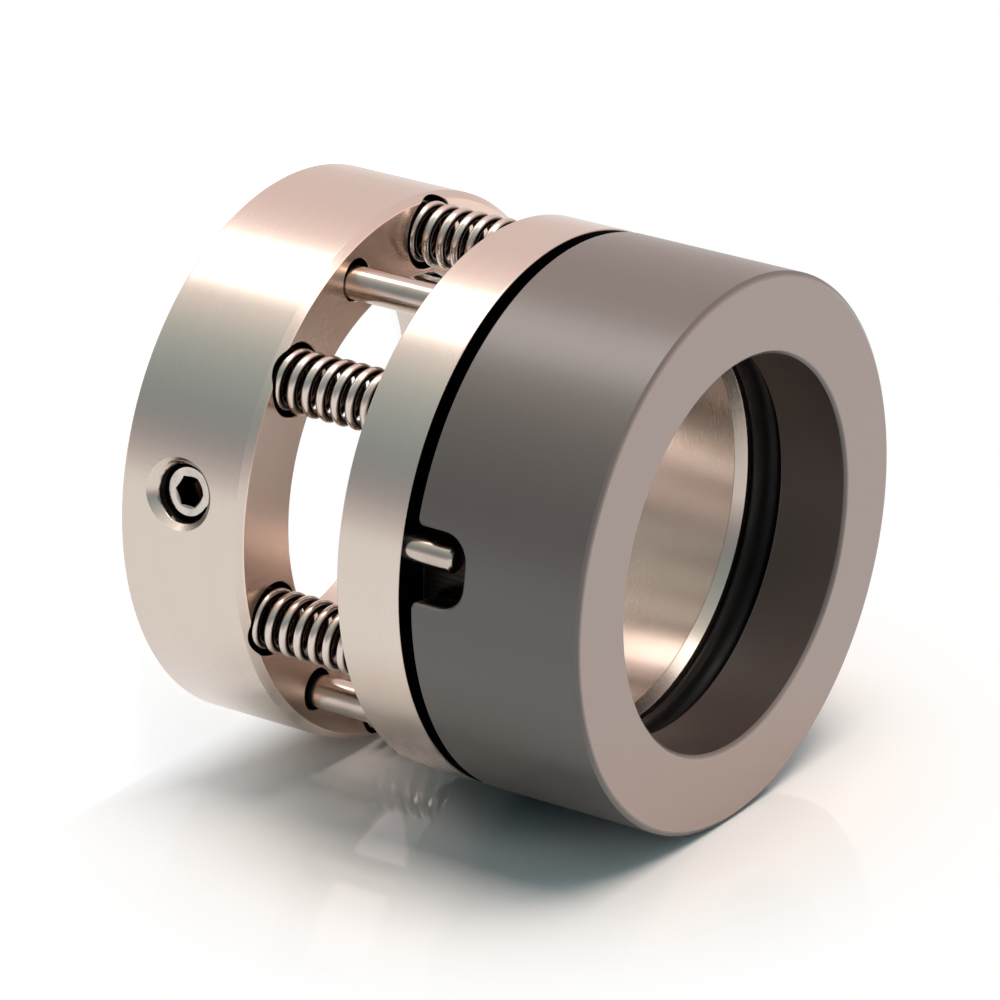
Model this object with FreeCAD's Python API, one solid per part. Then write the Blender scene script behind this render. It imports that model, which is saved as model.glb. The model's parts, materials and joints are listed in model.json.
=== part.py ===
import FreeCAD, Part
import math
import os

# Rotating head of a multi-spring mechanical shaft seal, standing on the back face of its drive collar.
# Z is the shaft's axis and points to the sealing face. X runs through the first set screw. Millimetres.

# Shaft, and the wall that the three rings share
shaft_diameter = 55.0
shaft_clearance = 0.2          # radial, between the shaft and the rings' bores
pocket_inner_web = 0.6         # metal left between a spring pocket and the bore
pocket_outer_web = 0.3         # metal left between a spring pocket and the outside
small_round_sides = 12         # flats that stand for the round of a pin, screw or small hole

# Springs, left-handed, with closed and ground ends
springs = 6
first_spring_angle = 30.0      # from the first set screw
spring_outer_diameter = 9.0
wire_diameter = 1.4
active_coils = 7
closed_coils = 0.75            # at each end
closed_coil_gap = 0.08
ground_off = 0.35              # thickness of wire ground off each end
spring_tip_angle = 200.0       # where the wire ends in its pocket, about the spring's own axis
spring_gap = 16.0              # collar to flange with the springs relaxed
spring_travel = 6.0            # how far the flange can be pushed back
segments_per_coil = 7
wire_sides = 5

# Drive collar
collar_width = 20.0
collar_front_chamfer = 1.0
pocket_clearance = 0.7         # radial, round a spring
pocket_depth = 3.7

# Drive pins, pressed into the flange's back and sliding in the collar's holes
drive_pins = 3
first_drive_pin_angle = 60.0   # from the first set screw
drive_pin_diameter = 4.75
drive_pin_seat = 8.0
drive_pin_engagement = 6.0     # length inside the collar with the springs relaxed
drive_pin_end_gap = 3.0        # left under the pin with the springs pushed back
drive_pin_play = 0.625         # radial, in the collar's hole
drive_pin_nip = 0.1            # left beside the pin, where the flange has turned in that play
pin_end_chamfer = 0.5

# Thrust ring: a flange for the springs and pins, and a nose that reaches into the face ring
flange_width = 10.0
nose_length = 11.8
nose_clearance = 0.25          # radial, in the face ring's counterbore
nose_lead_length = 1.6         # lead-in at the nose's mouth
nose_lead_depth = 0.9

# O-ring between the nose and the face ring's land
o_ring_section = 5.7
o_ring_bore_clearance = 0.05   # radial, outside the rings' bore
o_ring_wall_clearance = 0.15   # radial, in the face ring's counterbore
o_ring_land_gap = 0.2
o_ring_sides = 8               # flats that stand for the round of its section
o_ring_lengths = 40            # straight lengths that stand for the ring

# Face ring, of carbide, with its lapped face in front
skirt_gap = 2.0                # flange to skirt
face_ring_length = 26.5
face_chamfer_width = 0.8       # on the lapped face
face_chamfer_height = 0.55
notch_width = 10.6
notch_depth = 8.1
notch_corner = 3.9
notch_mouth_round = 0.8
first_notch_angle = 1.0        # from the first set screw

# Face pins, pressed into the flange's front and driving the face ring by its notches
face_pins = 3
first_face_pin_angle = -2.0    # from the middle between two drive pins
face_pin_diameter = 4.0
face_pin_seat = 6.0
face_pin_end_gap = 2.7         # left between a pin's end and its notch's

# Set screws with a hexagon socket and a cup point, in countersunk radial holes
set_screws = 3
thread_diameter = 8.0
thread_clearance = 0.05        # radial
screw_recess = 2.5             # screw's face below the collar's outside
screw_tip_gap = 0.8            # from the screw's point to the bore
screw_height = 9.4             # above the collar's back face
screw_end_chamfer = 0.6
screw_cup_diameter = 5.0
screw_cup_depth = 1.25
screw_cup_floor = 0.6          # diameter of the cup's small flat bottom
socket_flats = 4.0
socket_depth = 4.0
countersink_diameter = 10.8

# Sizes that follow from those above
overshoot = 1.0                # how far cutting shapes run past the faces that they cut
bore_radius = shaft_diameter / 2 + shaft_clearance
pocket_radius = spring_outer_diameter / 2 + pocket_clearance
drive_circle_radius = bore_radius + pocket_inner_web + pocket_radius
outer_radius = drive_circle_radius + pocket_radius + pocket_outer_web
flange_back = collar_width + spring_gap
flange_front = flange_back + flange_width
nose_front = flange_front + nose_length
skirt_back = flange_front + skirt_gap
seal_face = skirt_back + face_ring_length
land_back = nose_front + o_ring_section + o_ring_land_gap
o_ring_inner_radius = bore_radius + o_ring_bore_clearance
counterbore_radius = o_ring_inner_radius + o_ring_section + o_ring_wall_clearance
face_pin_circle_radius = (outer_radius + counterbore_radius) / 2
drive_play_turn = math.degrees((drive_pin_play - drive_pin_nip) / drive_circle_radius)
thread_radius = thread_diameter / 2


def vector(x, y, z):
    return FreeCAD.Vector(x, y, z)


def polar(radius, angle, z=0.0):
    """Point at an angle in degrees about the shaft's axis."""
    turn = math.radians(angle)
    return vector(radius * math.cos(turn), radius * math.sin(turn), z)


def spaced(count, first=0.0):
    """Angles in degrees of equally spaced copies."""
    return [first + 360.0 * k / count for k in range(count)]


def turned(profile):
    """Solid of revolution about Z from an outline of (radius, z) points."""
    points = [vector(r, 0, z) for r, z in profile]
    outline = Part.makePolygon(points + points[:1])
    return Part.Face(outline).revolve(vector(0, 0, 0), vector(0, 0, 1), 360)


def flat_face(corners):
    return Part.Face(Part.makePolygon(corners + corners[:1]))


def skinned(sections, closed=False):
    """Flat-faced solid through sections of as many corners each, open-ended or closed into a ring."""
    following = sections[1:] + sections[:1] if closed else sections[1:]
    faces = [] if closed else [flat_face(sections[0]), flat_face(sections[-1])]
    for near, far in zip(sections, following):
        for k in range(len(near)):
            faces.append(flat_face([near[k - 1], near[k], far[k], far[k - 1]]))
    return Part.Solid(Part.Shell(faces))


def rod(rounds):
    """Flat-sided solid along Z through small rounds given as (radius, z)."""
    return skinned([[polar(radius, turn, z) for turn in spaced(small_round_sides)] for radius, z in rounds])


def blind_hole(radius, depth, place):
    """Hole cut down from a face at the place's height."""
    hole = rod([(radius, -depth), (radius, overshoot)])
    hole.translate(place)
    return hole


def pointing_out(shape, angle, radius, z):
    """Turn a shape's own Z axis to point away from the shaft, and set it at a radius and height."""
    turn = FreeCAD.Rotation(vector(0, 0, 1), angle).multiply(FreeCAD.Rotation(vector(0, 1, 0), 90))
    placed = shape.copy()
    placed.Placement = FreeCAD.Placement(polar(radius, angle, z), turn)
    return placed


def screw_hole(angle):
    """Radial hole through the collar's wall, with its countersink."""
    mouth = countersink_diameter / 2
    wall = outer_radius - bore_radius
    hole = rod([
        (thread_radius, -overshoot),
        (thread_radius, wall - mouth + thread_radius),
        (mouth + overshoot, wall + overshoot),
    ])
    return pointing_out(hole, angle, bore_radius, screw_height)


def drive_collar():
    """Ring that the set screws lock to the shaft, with spring pockets and holes for the drive pins."""
    body = turned([
        (bore_radius, 0),
        (outer_radius, 0),
        (outer_radius, collar_width - collar_front_chamfer),
        (outer_radius - collar_front_chamfer, collar_width),
        (bore_radius, collar_width),
    ])
    cuts = [screw_hole(angle) for angle in spaced(set_screws)]
    for angle in spaced(springs, first_spring_angle):
        place = polar(drive_circle_radius, angle, collar_width)
        cuts.append(blind_hole(pocket_radius, pocket_depth, place))
    hole_radius = drive_pin_diameter / 2 + drive_pin_play
    hole_depth = drive_pin_engagement + spring_travel + drive_pin_end_gap
    for angle in spaced(drive_pins, first_drive_pin_angle):
        place = polar(drive_circle_radius, angle, collar_width)
        cuts.append(blind_hole(hole_radius, hole_depth, place))
    return body.cut(cuts)


def drive_pin_angles():
    """Where the drive pins stand, with the flange turned in their play."""
    return spaced(drive_pins, first_drive_pin_angle + drive_play_turn)


def face_pin_angles():
    """Where the face pins stand, on the same turned flange."""
    return spaced(face_pins, first_face_pin_angle + drive_play_turn)


def thrust_ring():
    """Flange pushed by the springs, with a nose that presses the O-ring into the face ring."""
    nose_radius = counterbore_radius - nose_clearance
    body = turned([
        (bore_radius, flange_back),
        (outer_radius, flange_back),
        (outer_radius, flange_front),
        (nose_radius, flange_front),
        (nose_radius, nose_front),
        (bore_radius + nose_lead_depth, nose_front),
        (bore_radius, nose_front - nose_lead_length),
    ])
    cuts = []
    for angle in drive_pin_angles():
        seat = rod([(drive_pin_diameter / 2, -overshoot), (drive_pin_diameter / 2, drive_pin_seat)])
        seat.translate(polar(drive_circle_radius, angle, flange_back))
        cuts.append(seat)
    for angle in face_pin_angles():
        place = polar(face_pin_circle_radius, angle, flange_front)
        cuts.append(blind_hole(face_pin_diameter / 2, face_pin_seat, place))
    return body.cut(cuts)


def quarter(y, z, radius, start, side):
    """Corners of a quarter round in the YZ plane about (y, z), from an angle and to one side."""
    flats = small_round_sides // 4
    turns = [math.radians(start + side * 90 * k / flats) for k in range(flats + 1)]
    return [vector(0, y + radius * math.cos(turn), z + radius * math.sin(turn)) for turn in turns]


def notch():
    """Cutter for one notch at the X axis: straight flanks, a round-cornered end and an eased mouth."""
    side = notch_width / 2
    ease = notch_mouth_round
    corner = min(notch_corner, side - ease)
    corner_height = skirt_back + notch_depth - corner
    outline = quarter(-side - ease, skirt_back + ease, ease, -90, 1)
    outline += quarter(-side + corner, corner_height, corner, 180, -1)
    outline += quarter(side - corner, corner_height, corner, 90, -1)
    outline += quarter(side + ease, skirt_back + ease, ease, 180, 1)
    outline += [outline[-1] - vector(0, 0, overshoot), outline[0] - vector(0, 0, overshoot)]
    return flat_face(outline).extrude(vector(outer_radius + overshoot, 0, 0))


def face_ring():
    """Carbide ring with the lapped sealing face, a counterbored skirt and a notch for each face pin."""
    body = turned([
        (bore_radius, land_back),
        (counterbore_radius, land_back),
        (counterbore_radius, skirt_back),
        (outer_radius, skirt_back),
        (outer_radius, seal_face - face_chamfer_height),
        (outer_radius - face_chamfer_width, seal_face),
        (bore_radius, seal_face),
    ])
    cuts = []
    for angle in spaced(face_pins, first_notch_angle):
        cutter = notch()
        cutter.rotate(vector(0, 0, 0), vector(0, 0, 1), angle)
        cuts.append(cutter)
    return body.cut(cuts)


def o_ring():
    """O-ring that rests on the nose, round the shaft."""
    section = o_ring_section / 2
    outline = [polar(section, turn) for turn in spaced(o_ring_sides, 180 / o_ring_sides)]
    middle_radius = o_ring_inner_radius + section
    return skinned([
        [polar(middle_radius + point.x, angle, nose_front + section + point.y) for point in outline]
        for angle in spaced(o_ring_lengths)
    ], closed=True)


def coil_line(length):
    """Points along the middle of a spring's wire: closed, then open, then closed again, left-handed."""
    total = active_coils + 2 * closed_coils
    segments = round(total * segments_per_coil)
    closed_pitch = wire_diameter + closed_coil_gap
    low = wire_diameter / 2 - ground_off
    pitch = (length - 2 * low - 2 * closed_coils * closed_pitch) / active_coils
    points = []
    for segment in range(segments + 1):
        turns = total * segment / segments
        closed = min(turns, closed_coils) + max(0.0, turns - total + closed_coils)
        height = low + closed_pitch * closed + pitch * (turns - closed)
        angle = spring_tip_angle - 360.0 * turns
        points.append(polar((spring_outer_diameter - wire_diameter) / 2, angle, height))
    return points


def wire_along(points):
    """Flat-sided wire along a line of points, with a mitre at each of them."""
    runs = [(after - before).normalize() for before, after in zip(points, points[1:])]
    mitres = [before + after for before, after in zip(runs, runs[1:])] + [runs[-1]]
    across = runs[0].cross(vector(0, 0, 1)).normalize()
    upward = across.cross(runs[0])
    outline = [polar(wire_diameter / 2, turn) for turn in spaced(wire_sides)]
    sections = [[points[0] + across * corner.x + upward * corner.y for corner in outline]]
    for run, mitre, place in zip(runs, mitres, points[1:]):
        reaches = [(place - corner).dot(mitre) / run.dot(mitre) for corner in sections[-1]]
        sections.append([corner + run * reach for corner, reach in zip(sections[-1], reaches)])
    return skinned(sections)


def coil_spring(angle):
    """Compression spring from the bottom of its pocket to the flange, its ends ground flat."""
    low = collar_width - pocket_depth
    length = flange_back - low
    spring = wire_along(coil_line(length)).common(Part.makeCylinder(spring_outer_diameter, length))
    spring.translate(polar(drive_circle_radius, angle, low))
    return spring


def dowel(diameter, length):
    """Pin along Z with both ends chamfered."""
    radius = diameter / 2
    return rod([
        (radius - pin_end_chamfer, 0),
        (radius, pin_end_chamfer),
        (radius, length - pin_end_chamfer),
        (radius - pin_end_chamfer, length),
    ])


def drive_pin(angle):
    """Dowel seated in the flange's back, its free end inside the collar."""
    pin = dowel(drive_pin_diameter, drive_pin_seat + spring_gap + drive_pin_engagement)
    pin.translate(polar(drive_circle_radius, angle, collar_width - drive_pin_engagement))
    return pin


def face_pin(angle):
    """Short dowel seated in the flange's front, its free end in a notch of the face ring."""
    pin = dowel(face_pin_diameter, face_pin_seat + skirt_gap + notch_depth - face_pin_end_gap)
    pin.translate(polar(face_pin_circle_radius, angle, flange_front - face_pin_seat))
    return pin


def set_screw(angle):
    """Headless screw with a hexagon socket outwards and a cup point towards the shaft."""
    radius = thread_radius - thread_clearance
    length = outer_radius - bore_radius - screw_recess - screw_tip_gap
    point = screw_cup_diameter / 2
    body = rod([
        (point, 0),
        (radius, radius - point),
        (radius, length - screw_end_chamfer),
        (radius - screw_end_chamfer, length),
    ])
    cup = rod([(point, 0), (screw_cup_floor / 2, screw_cup_depth)])
    corners = [polar(socket_flats / 2 / math.cos(math.pi / 6), turn, length) for turn in spaced(6)]
    socket = flat_face(corners).extrude(vector(0, 0, -socket_depth))
    return pointing_out(body.cut([cup, socket]), angle, bore_radius + screw_tip_gap, screw_height)


def numbered(name, make, angles):
    """One named piece for each angle."""
    return {f"{name}_{k}": make(angle) for k, angle in enumerate(angles, start=1)}


pieces = {
    "drive_collar": drive_collar(),
    "thrust_ring": thrust_ring(),
    "face_ring": face_ring(),
    "o_ring": o_ring(),
}
pieces.update(numbered("spring", coil_spring, spaced(springs, first_spring_angle)))
pieces.update(numbered("drive_pin", drive_pin, drive_pin_angles()))
pieces.update(numbered("face_pin", face_pin, face_pin_angles()))
pieces.update(numbered("set_screw", set_screw, spaced(set_screws)))

os.makedirs("parts", exist_ok=True)
for name, piece in pieces.items():
    piece.exportStep(f"parts/{name}.step")
    print(f"{name}: {len(piece.Solids)} solid, valid {piece.isValid()}, {piece.Volume:.1f} mm3")
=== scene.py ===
import bmesh
import bpy
import json
import math
from mathutils import Matrix, Vector


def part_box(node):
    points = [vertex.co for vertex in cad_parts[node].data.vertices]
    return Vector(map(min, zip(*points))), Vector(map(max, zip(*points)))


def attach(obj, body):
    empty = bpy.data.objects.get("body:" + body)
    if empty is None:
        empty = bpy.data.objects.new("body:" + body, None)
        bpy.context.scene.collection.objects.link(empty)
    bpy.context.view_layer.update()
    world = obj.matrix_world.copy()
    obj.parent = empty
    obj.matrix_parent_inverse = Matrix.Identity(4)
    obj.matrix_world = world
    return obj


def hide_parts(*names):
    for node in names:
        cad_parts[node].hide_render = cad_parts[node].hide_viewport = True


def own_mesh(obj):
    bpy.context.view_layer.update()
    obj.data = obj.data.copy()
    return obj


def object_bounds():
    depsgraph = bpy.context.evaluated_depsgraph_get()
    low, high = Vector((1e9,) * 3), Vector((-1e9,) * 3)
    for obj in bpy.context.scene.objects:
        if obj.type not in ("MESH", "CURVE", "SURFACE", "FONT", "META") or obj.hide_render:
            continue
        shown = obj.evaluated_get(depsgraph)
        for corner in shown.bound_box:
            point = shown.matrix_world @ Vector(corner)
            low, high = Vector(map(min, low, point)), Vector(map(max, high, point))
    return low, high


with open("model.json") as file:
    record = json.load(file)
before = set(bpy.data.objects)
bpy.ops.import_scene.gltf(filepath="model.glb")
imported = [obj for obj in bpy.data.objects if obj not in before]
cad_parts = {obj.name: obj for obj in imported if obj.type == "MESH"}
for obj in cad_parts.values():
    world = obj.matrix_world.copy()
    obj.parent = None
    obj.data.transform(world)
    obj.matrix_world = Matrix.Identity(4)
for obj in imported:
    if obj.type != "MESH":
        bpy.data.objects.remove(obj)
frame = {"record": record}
cad_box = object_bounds()

# Drive collar
# A ring turned from stainless bar, faced and chamfered, then drilled. Six pockets in its face hold the
# springs, three deeper holes take the drive pins, and three tapped, countersunk holes in its side take the
# screws that grip the shaft. It is one piece, slid on the shaft first, and it carries everything else.
mm = 0.001  # sizes are in millimetres where nothing else is said
collar_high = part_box("drive_collar")[1]
collar_radius = collar_high.x / mm
collar_width = collar_high.z / mm
shaft_bore = next(mount for mount in frame["record"]["mounts"] if mount["name"] == "shaft_bore")
bore_radius = shaft_bore["dims"]["r_mm"]
collar_chamfer = 1.0
collar_chamfer_round = 0.08
collar_back_round = 0.4
edge_break = 0.25
drive_circle_radius = 33.5
spring_count = 6
first_spring_angle = 30
pocket_radius = 5.2
pocket_depth = 3.7
pin_count = 3
first_pin_angle = 60
pin_hole_radius = 3.0
pin_hole_depth = 15.0
hole_edge_break = 0.15
screw_count = 3
screw_height = 9.4
thread_pitch = 1.25
thread_flank = 1.25
thread_flat = 0.125
thread_rows = 12
hole_crest_radius = 4.05
hole_root_radius = 4.5
countersink_radius = 5.4
ring_steps = 256
small_steps = 64
past = 1.0
steel_dark = (0.660, 0.572, 0.505)
steel_light = (0.690, 0.602, 0.535)
# painted warm light on the collar's front face, brighter than the steel
painted_face_light = (0.88, 0.67, 0.56)
# painted shade: dark colour put in the pockets, holes and gaps of the steel rings, where shade falls
painted_hole_shade = (0.012, 0.009, 0.008)
face_skin = 0.4
cloud_dulling = 0.02
# depths under the faces where the painted shade of the pockets, pin holes and nose gap begins and is full
hole_shade_start = 0.08
hole_shade_end = 0.25
below_pockets = 15.5


def eased(corners, steps=4):
    """Outline through corners (r, z, radius), each rounded to its radius."""
    points = []
    for k, (r, z, radius) in enumerate(corners):
        corner = Vector((r, z))
        if radius == 0:
            points.append(corner)
            continue
        before = (Vector(corners[k - 1][:2]) - corner).normalized()
        after = (Vector(corners[(k + 1) % len(corners)][:2]) - corner).normalized()
        half = before.angle(after) / 2
        centre = corner + (before + after).normalized() * radius / math.sin(half)
        start = corner + before * radius / math.tan(half) - centre
        end = corner + after * radius / math.tan(half) - centre
        sweep = math.atan2(start.cross(end), start.dot(end))
        for step in range(steps + 1):
            points.append(centre + Matrix.Rotation(sweep * step / steps, 2) @ start)
    return points


def wall_between(rings, closed):
    """Closed mesh through rings of points given in millimetres. A ring of one point is a pole."""
    mesh = bmesh.new()
    made = [[mesh.verts.new(Vector(point) * mm) for point in ring] for ring in rings]
    following = made[1:] + made[:1] if closed else made[1:]
    for near, far in zip(made, following):
        for k in range(max(len(near), len(far))):
            corners = [near[k % len(near)], near[(k + 1) % len(near)],
                       far[(k + 1) % len(far)], far[k % len(far)]]
            mesh.faces.new(list(dict.fromkeys(corners)))
    if not closed:
        for ring in (made[0], made[-1]):
            if len(ring) > 1:
                mesh.faces.new(ring)
    bmesh.ops.recalc_face_normals(mesh, faces=mesh.faces)
    wall = bpy.data.meshes.new("wall")
    mesh.to_mesh(wall)
    mesh.free()
    return wall


def rings_round(outline, turns):
    """Rings of points about Z, one for each (r, z) of an outline. A radius of nought gives a pole."""
    rings = []
    for r, z in outline:
        round_here = turns if r > 0 else turns[:1]
        rings.append([(r * math.cos(turn), r * math.sin(turn), z) for turn in round_here])
    return rings


def turned(outline, steps=ring_steps, closed=True):
    """Mesh turned about Z from an outline of (r, z) points."""
    turns = [2 * math.pi * k / steps for k in range(steps)]
    return wall_between(rings_round(outline, turns), closed)


def drilled(radius, depth, top):
    """Cutter for a flat-bottomed hole at the Z axis, its mouth eased at the height of the face."""
    outline = [
        (0, top - depth),
        (radius, top - depth),
        (radius, top - hole_edge_break),
        (radius + hole_edge_break, top),
        (radius + hole_edge_break, top + past),
        (0, top + past),
    ]
    return turned(outline, small_steps, closed=False)


def turn_by(angle, axis):
    """Turn about an axis through the origin, in degrees."""
    return Matrix.Rotation(math.radians(angle), 4, axis)


def at_angle(mesh, angle, radius=0.0):
    """Move a mesh out along X and turn it about the shaft's axis, in degrees."""
    mesh.transform(turn_by(angle, "Z") @ Matrix.Translation((radius * mm, 0, 0)))
    return mesh


def pointing_out(mesh, angle, radius, height):
    """Turn a mesh's own Z axis to point away from the shaft, and set it at a radius and height."""
    out = Matrix.Translation((radius * mm, 0, height * mm)) @ turn_by(90, "Y")
    mesh.transform(turn_by(angle, "Z") @ out)
    return mesh


def thread_ridge(height, turn):
    """Share of a right-hand thread's depth at a height and angle, flat at crest and root."""
    along = (height / thread_pitch - turn / (2 * math.pi)) % 1.0
    return min(1.0, max(0.0, (1 - abs(2 * along - 1)) * thread_flank - thread_flat))


def threaded(low, high, radius_at, ends=()):
    """Mesh with a threaded side between two heights, and rings of (r, z) that close its lower end."""
    rows = round((high - low) / thread_pitch * thread_rows)
    turns = [2 * math.pi * k / small_steps for k in range(small_steps)]
    rings = rings_round(ends, turns)
    for row in range(rows + 1):
        z = low + (high - low) * row / rows
        rings.append([(radius_at(z, t) * math.cos(t), radius_at(z, t) * math.sin(t), z) for t in turns])
    return wall_between(rings, closed=False)


def screw_hole():
    """Cutter for a tapped hole through the wall, from the bore outwards, with its countersink."""
    wall = collar_radius - bore_radius

    def radius_at(z, turn):
        thread = hole_crest_radius + (hole_root_radius - hole_crest_radius) * thread_ridge(z, turn)
        return max(thread, countersink_radius + z - wall)

    return threaded(-past, wall + past, radius_at)


def new_object(name, data):
    """Object put in the scene."""
    made = bpy.data.objects.new(name, data)
    bpy.context.scene.collection.objects.link(made)
    return made


def plain_mesh(made):
    """Plain mesh of what an object's modifiers make."""
    return bpy.data.meshes.new_from_object(made.evaluated_get(bpy.context.evaluated_depsgraph_get()))


def cut(mesh, cutters):
    """Take the volume of the cutters out of a mesh."""
    gathered = bmesh.new()
    for cutter in cutters:
        gathered.from_mesh(cutter)
    joined = bpy.data.meshes.new("cutters")
    gathered.to_mesh(joined)
    gathered.free()
    body = new_object("body", mesh)
    tool = new_object("tool", joined)
    boolean = body.modifiers.new("cut", "BOOLEAN")
    boolean.operation = "DIFFERENCE"
    boolean.solver = "EXACT"
    boolean.object = tool
    result = plain_mesh(body)
    bpy.data.objects.remove(body)
    bpy.data.objects.remove(tool)
    return result


def made_piece(name, mesh, material, body, replaced, sharp_above=32):
    """Shown piece from a mesh: smooth over its eased edges, sharp at the rest, riding on its body."""
    mesh.name = name
    mesh.shade_smooth()
    mesh.set_sharp_from_angle(angle=math.radians(sharp_above))
    piece = new_object(name, mesh)
    weighted = piece.modifiers.new("normals", "WEIGHTED_NORMAL")
    weighted.keep_sharp = True
    plain = plain_mesh(piece)
    piece.modifiers.clear()
    plain.name = name
    piece.data = plain
    plain.materials.clear()
    plain.materials.append(material)
    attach(piece, body)
    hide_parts(replaced)


def add_node(tree, kind, inputs, **settings):
    """Node with its settings, and its inputs given as values or as sockets to link."""
    made = tree.nodes.new(kind)
    for setting, value in settings.items():
        setattr(made, setting, value)
    for socket, value in inputs.items():
        if isinstance(value, bpy.types.NodeSocket):
            tree.links.new(value, made.inputs[socket])
        else:
            made.inputs[socket].default_value = value
    return made


def worked(tree, operation, *values):
    """Result of a math node on numbers or sockets."""
    return add_node(tree, "ShaderNodeMath", dict(enumerate(values)), operation=operation).outputs[0]


def rising(tree, value, start, end, shape="LINEAR"):
    """Share that goes from 0 to 1 as a number goes from start to end."""
    return add_node(tree, "ShaderNodeMapRange", {"Value": value, "From Min": start, "From Max": end},
                    interpolation_type=shape).outputs[0]


def between(tree, share, low, high):
    """Number between two, by a share."""
    return add_node(tree, "ShaderNodeMapRange", {"Value": share, "To Min": low, "To Max": high}).outputs[0]


def noise(tree, place, scale, detail, roughness=0.5):
    """Soft noise at a place, from 0 to 1."""
    return add_node(tree, "ShaderNodeTexNoise", {
        "Vector": place, "Scale": scale, "Detail": detail, "Roughness": roughness,
    }).outputs["Fac"]


def object_place(tree):
    """Place on a piece, in Object coordinates."""
    return add_node(tree, "ShaderNodeTexCoord", {}).outputs["Object"]


def vector_of(tree, x, y, z=0.0):
    """Vector put together from its parts."""
    return add_node(tree, "ShaderNodeCombineXYZ", {"X": x, "Y": y, "Z": z}).outputs[0]


def parts_of(tree, vector):
    """X, Y and Z of a vector."""
    return add_node(tree, "ShaderNodeSeparateXYZ", {"Vector": vector}).outputs


def distance_out(tree, parts):
    """Distance from the shaft's axis, from the parts of a place."""
    flat = vector_of(tree, parts["X"], parts["Y"])
    return add_node(tree, "ShaderNodeVectorMath", {0: flat}, operation="LENGTH").outputs["Value"]


def over(tree, share, under, colour):
    """Colour that goes over to another where the share is high."""
    mix = add_node(tree, "ShaderNodeMix", {"Factor": share, "A": under, "B": (*colour, 1)}, data_type="RGBA")
    return mix.outputs["Result"]


def tinted(tree, share, first, second):
    """Colour that goes from the first to the second by a share."""
    return over(tree, share, (*first, 1), second)


def node_group(name, takes, gives):
    """Shader node group with named number inputs and outputs: its tree, and the sockets at its two ends."""
    tree = bpy.data.node_groups.new(name, "ShaderNodeTree")
    for label, value in takes.items():
        tree.interface.new_socket(label, in_out="INPUT", socket_type="NodeSocketFloat").default_value = value
    for label in gives:
        tree.interface.new_socket(label, in_out="OUTPUT", socket_type="NodeSocketFloat")
    return tree, tree.nodes.new("NodeGroupInput").outputs, tree.nodes.new("NodeGroupOutput").inputs


def placed_group(tree, group, values):
    """Outputs of a shader group that is placed in a material with its own values."""
    return add_node(tree, "ShaderNodeGroup", values, node_tree=group).outputs


def cut_marks_group():
    """Marks that a cutting edge leaves round a turned surface: fine and close, with slow drift."""
    face_share = 1.37
    drift_share = 0.07
    drift_scale = 0.8
    tree, takes, gives = node_group("cut marks", {"Spacing": 0.00025, "Length": 0.03}, ["Marks", "Drift"])
    parts = parts_of(tree, object_place(tree))
    across = worked(tree, "MULTIPLY_ADD", distance_out(tree, parts), face_share, parts["Z"])
    step = worked(tree, "DIVIDE", across, takes["Spacing"])
    run_x = worked(tree, "DIVIDE", parts["X"], takes["Length"])
    run_y = worked(tree, "DIVIDE", parts["Y"], takes["Length"])
    slow_step = worked(tree, "MULTIPLY", step, drift_share)
    marks = noise(tree, vector_of(tree, run_x, run_y, step), scale=1.0, detail=3.0)
    drift = noise(tree, vector_of(tree, run_x, run_y, slow_step), drift_scale, detail=2.0)
    tree.links.new(marks, gives["Marks"])
    tree.links.new(drift, gives["Drift"])
    return tree


def handling_group():
    """Faint clouds that handling and wiping leave on bare metal, and fine specks, from 0 to 1."""
    cloud_full = 0.75
    speck_scale = 2600.0
    speck_start, speck_full = 0.66, 0.78
    tree, takes, gives = node_group("handling", {"Size": 0.012, "Cover": 0.5}, ["Clouds", "Specks"])
    place = object_place(tree)
    cloud_scale = worked(tree, "DIVIDE", 1.0, takes["Size"])
    cloud = noise(tree, place, cloud_scale, detail=5.0, roughness=0.6)
    clouds = rising(tree, cloud, takes["Cover"], cloud_full)
    specks = rising(tree, noise(tree, place, speck_scale, detail=1.0), speck_start, speck_full)
    tree.links.new(clouds, gives["Clouds"])
    tree.links.new(specks, gives["Specks"])
    return tree


def depth_share_group():
    """Share in the holes and gaps of a ring, by the distance under its plain faces, with a ragged edge."""
    edge_noise_scale = 900.0
    sizes = {"Inner": 0.0, "Outer": 0.1, "Bottom": 0.0, "Top": 0.1, "Chamfer": 0.0,
             "Start": 0.0, "End": 0.001, "Ragged": 0.0}
    tree, takes, gives = node_group("depth under faces", sizes, ["Oil"])
    place = object_place(tree)
    parts = parts_of(tree, place)
    out = distance_out(tree, parts)
    up = parts["Z"]
    corner = worked(tree, "SUBTRACT", worked(tree, "ADD", takes["Outer"], takes["Top"]), takes["Chamfer"])
    under = worked(tree, "SUBTRACT", out, takes["Inner"])
    depths = [
        worked(tree, "SUBTRACT", takes["Outer"], out),
        worked(tree, "SUBTRACT", up, takes["Bottom"]),
        worked(tree, "SUBTRACT", takes["Top"], up),
        worked(tree, "SUBTRACT", corner, worked(tree, "ADD", out, up)),
    ]
    for depth in depths:
        under = worked(tree, "MINIMUM", under, depth)
    edge_noise = worked(tree, "SUBTRACT", noise(tree, place, edge_noise_scale, detail=2.0), 0.5)
    ragged_under = worked(tree, "MULTIPLY_ADD", edge_noise, takes["Ragged"], under)
    tree.links.new(rising(tree, ragged_under, takes["Start"], takes["End"]), gives["Oil"])
    return tree


cut_marks = cut_marks_group()
handling = handling_group()
depth_share_nodes = depth_share_group()


def depth_share(tree, limits, start, end, chamfer=0.0, ragged=0.0):
    """Share by the distance under plain faces, between limits in millimetres: inner and outer radius, bottom
    and top.
    """
    sizes = dict(zip(("Inner", "Outer", "Bottom", "Top"), limits))
    sizes.update(Start=start, End=end, Chamfer=chamfer, Ragged=ragged)
    return placed_group(tree, depth_share_nodes, {label: size * mm for label, size in sizes.items()})["Oil"]


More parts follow.
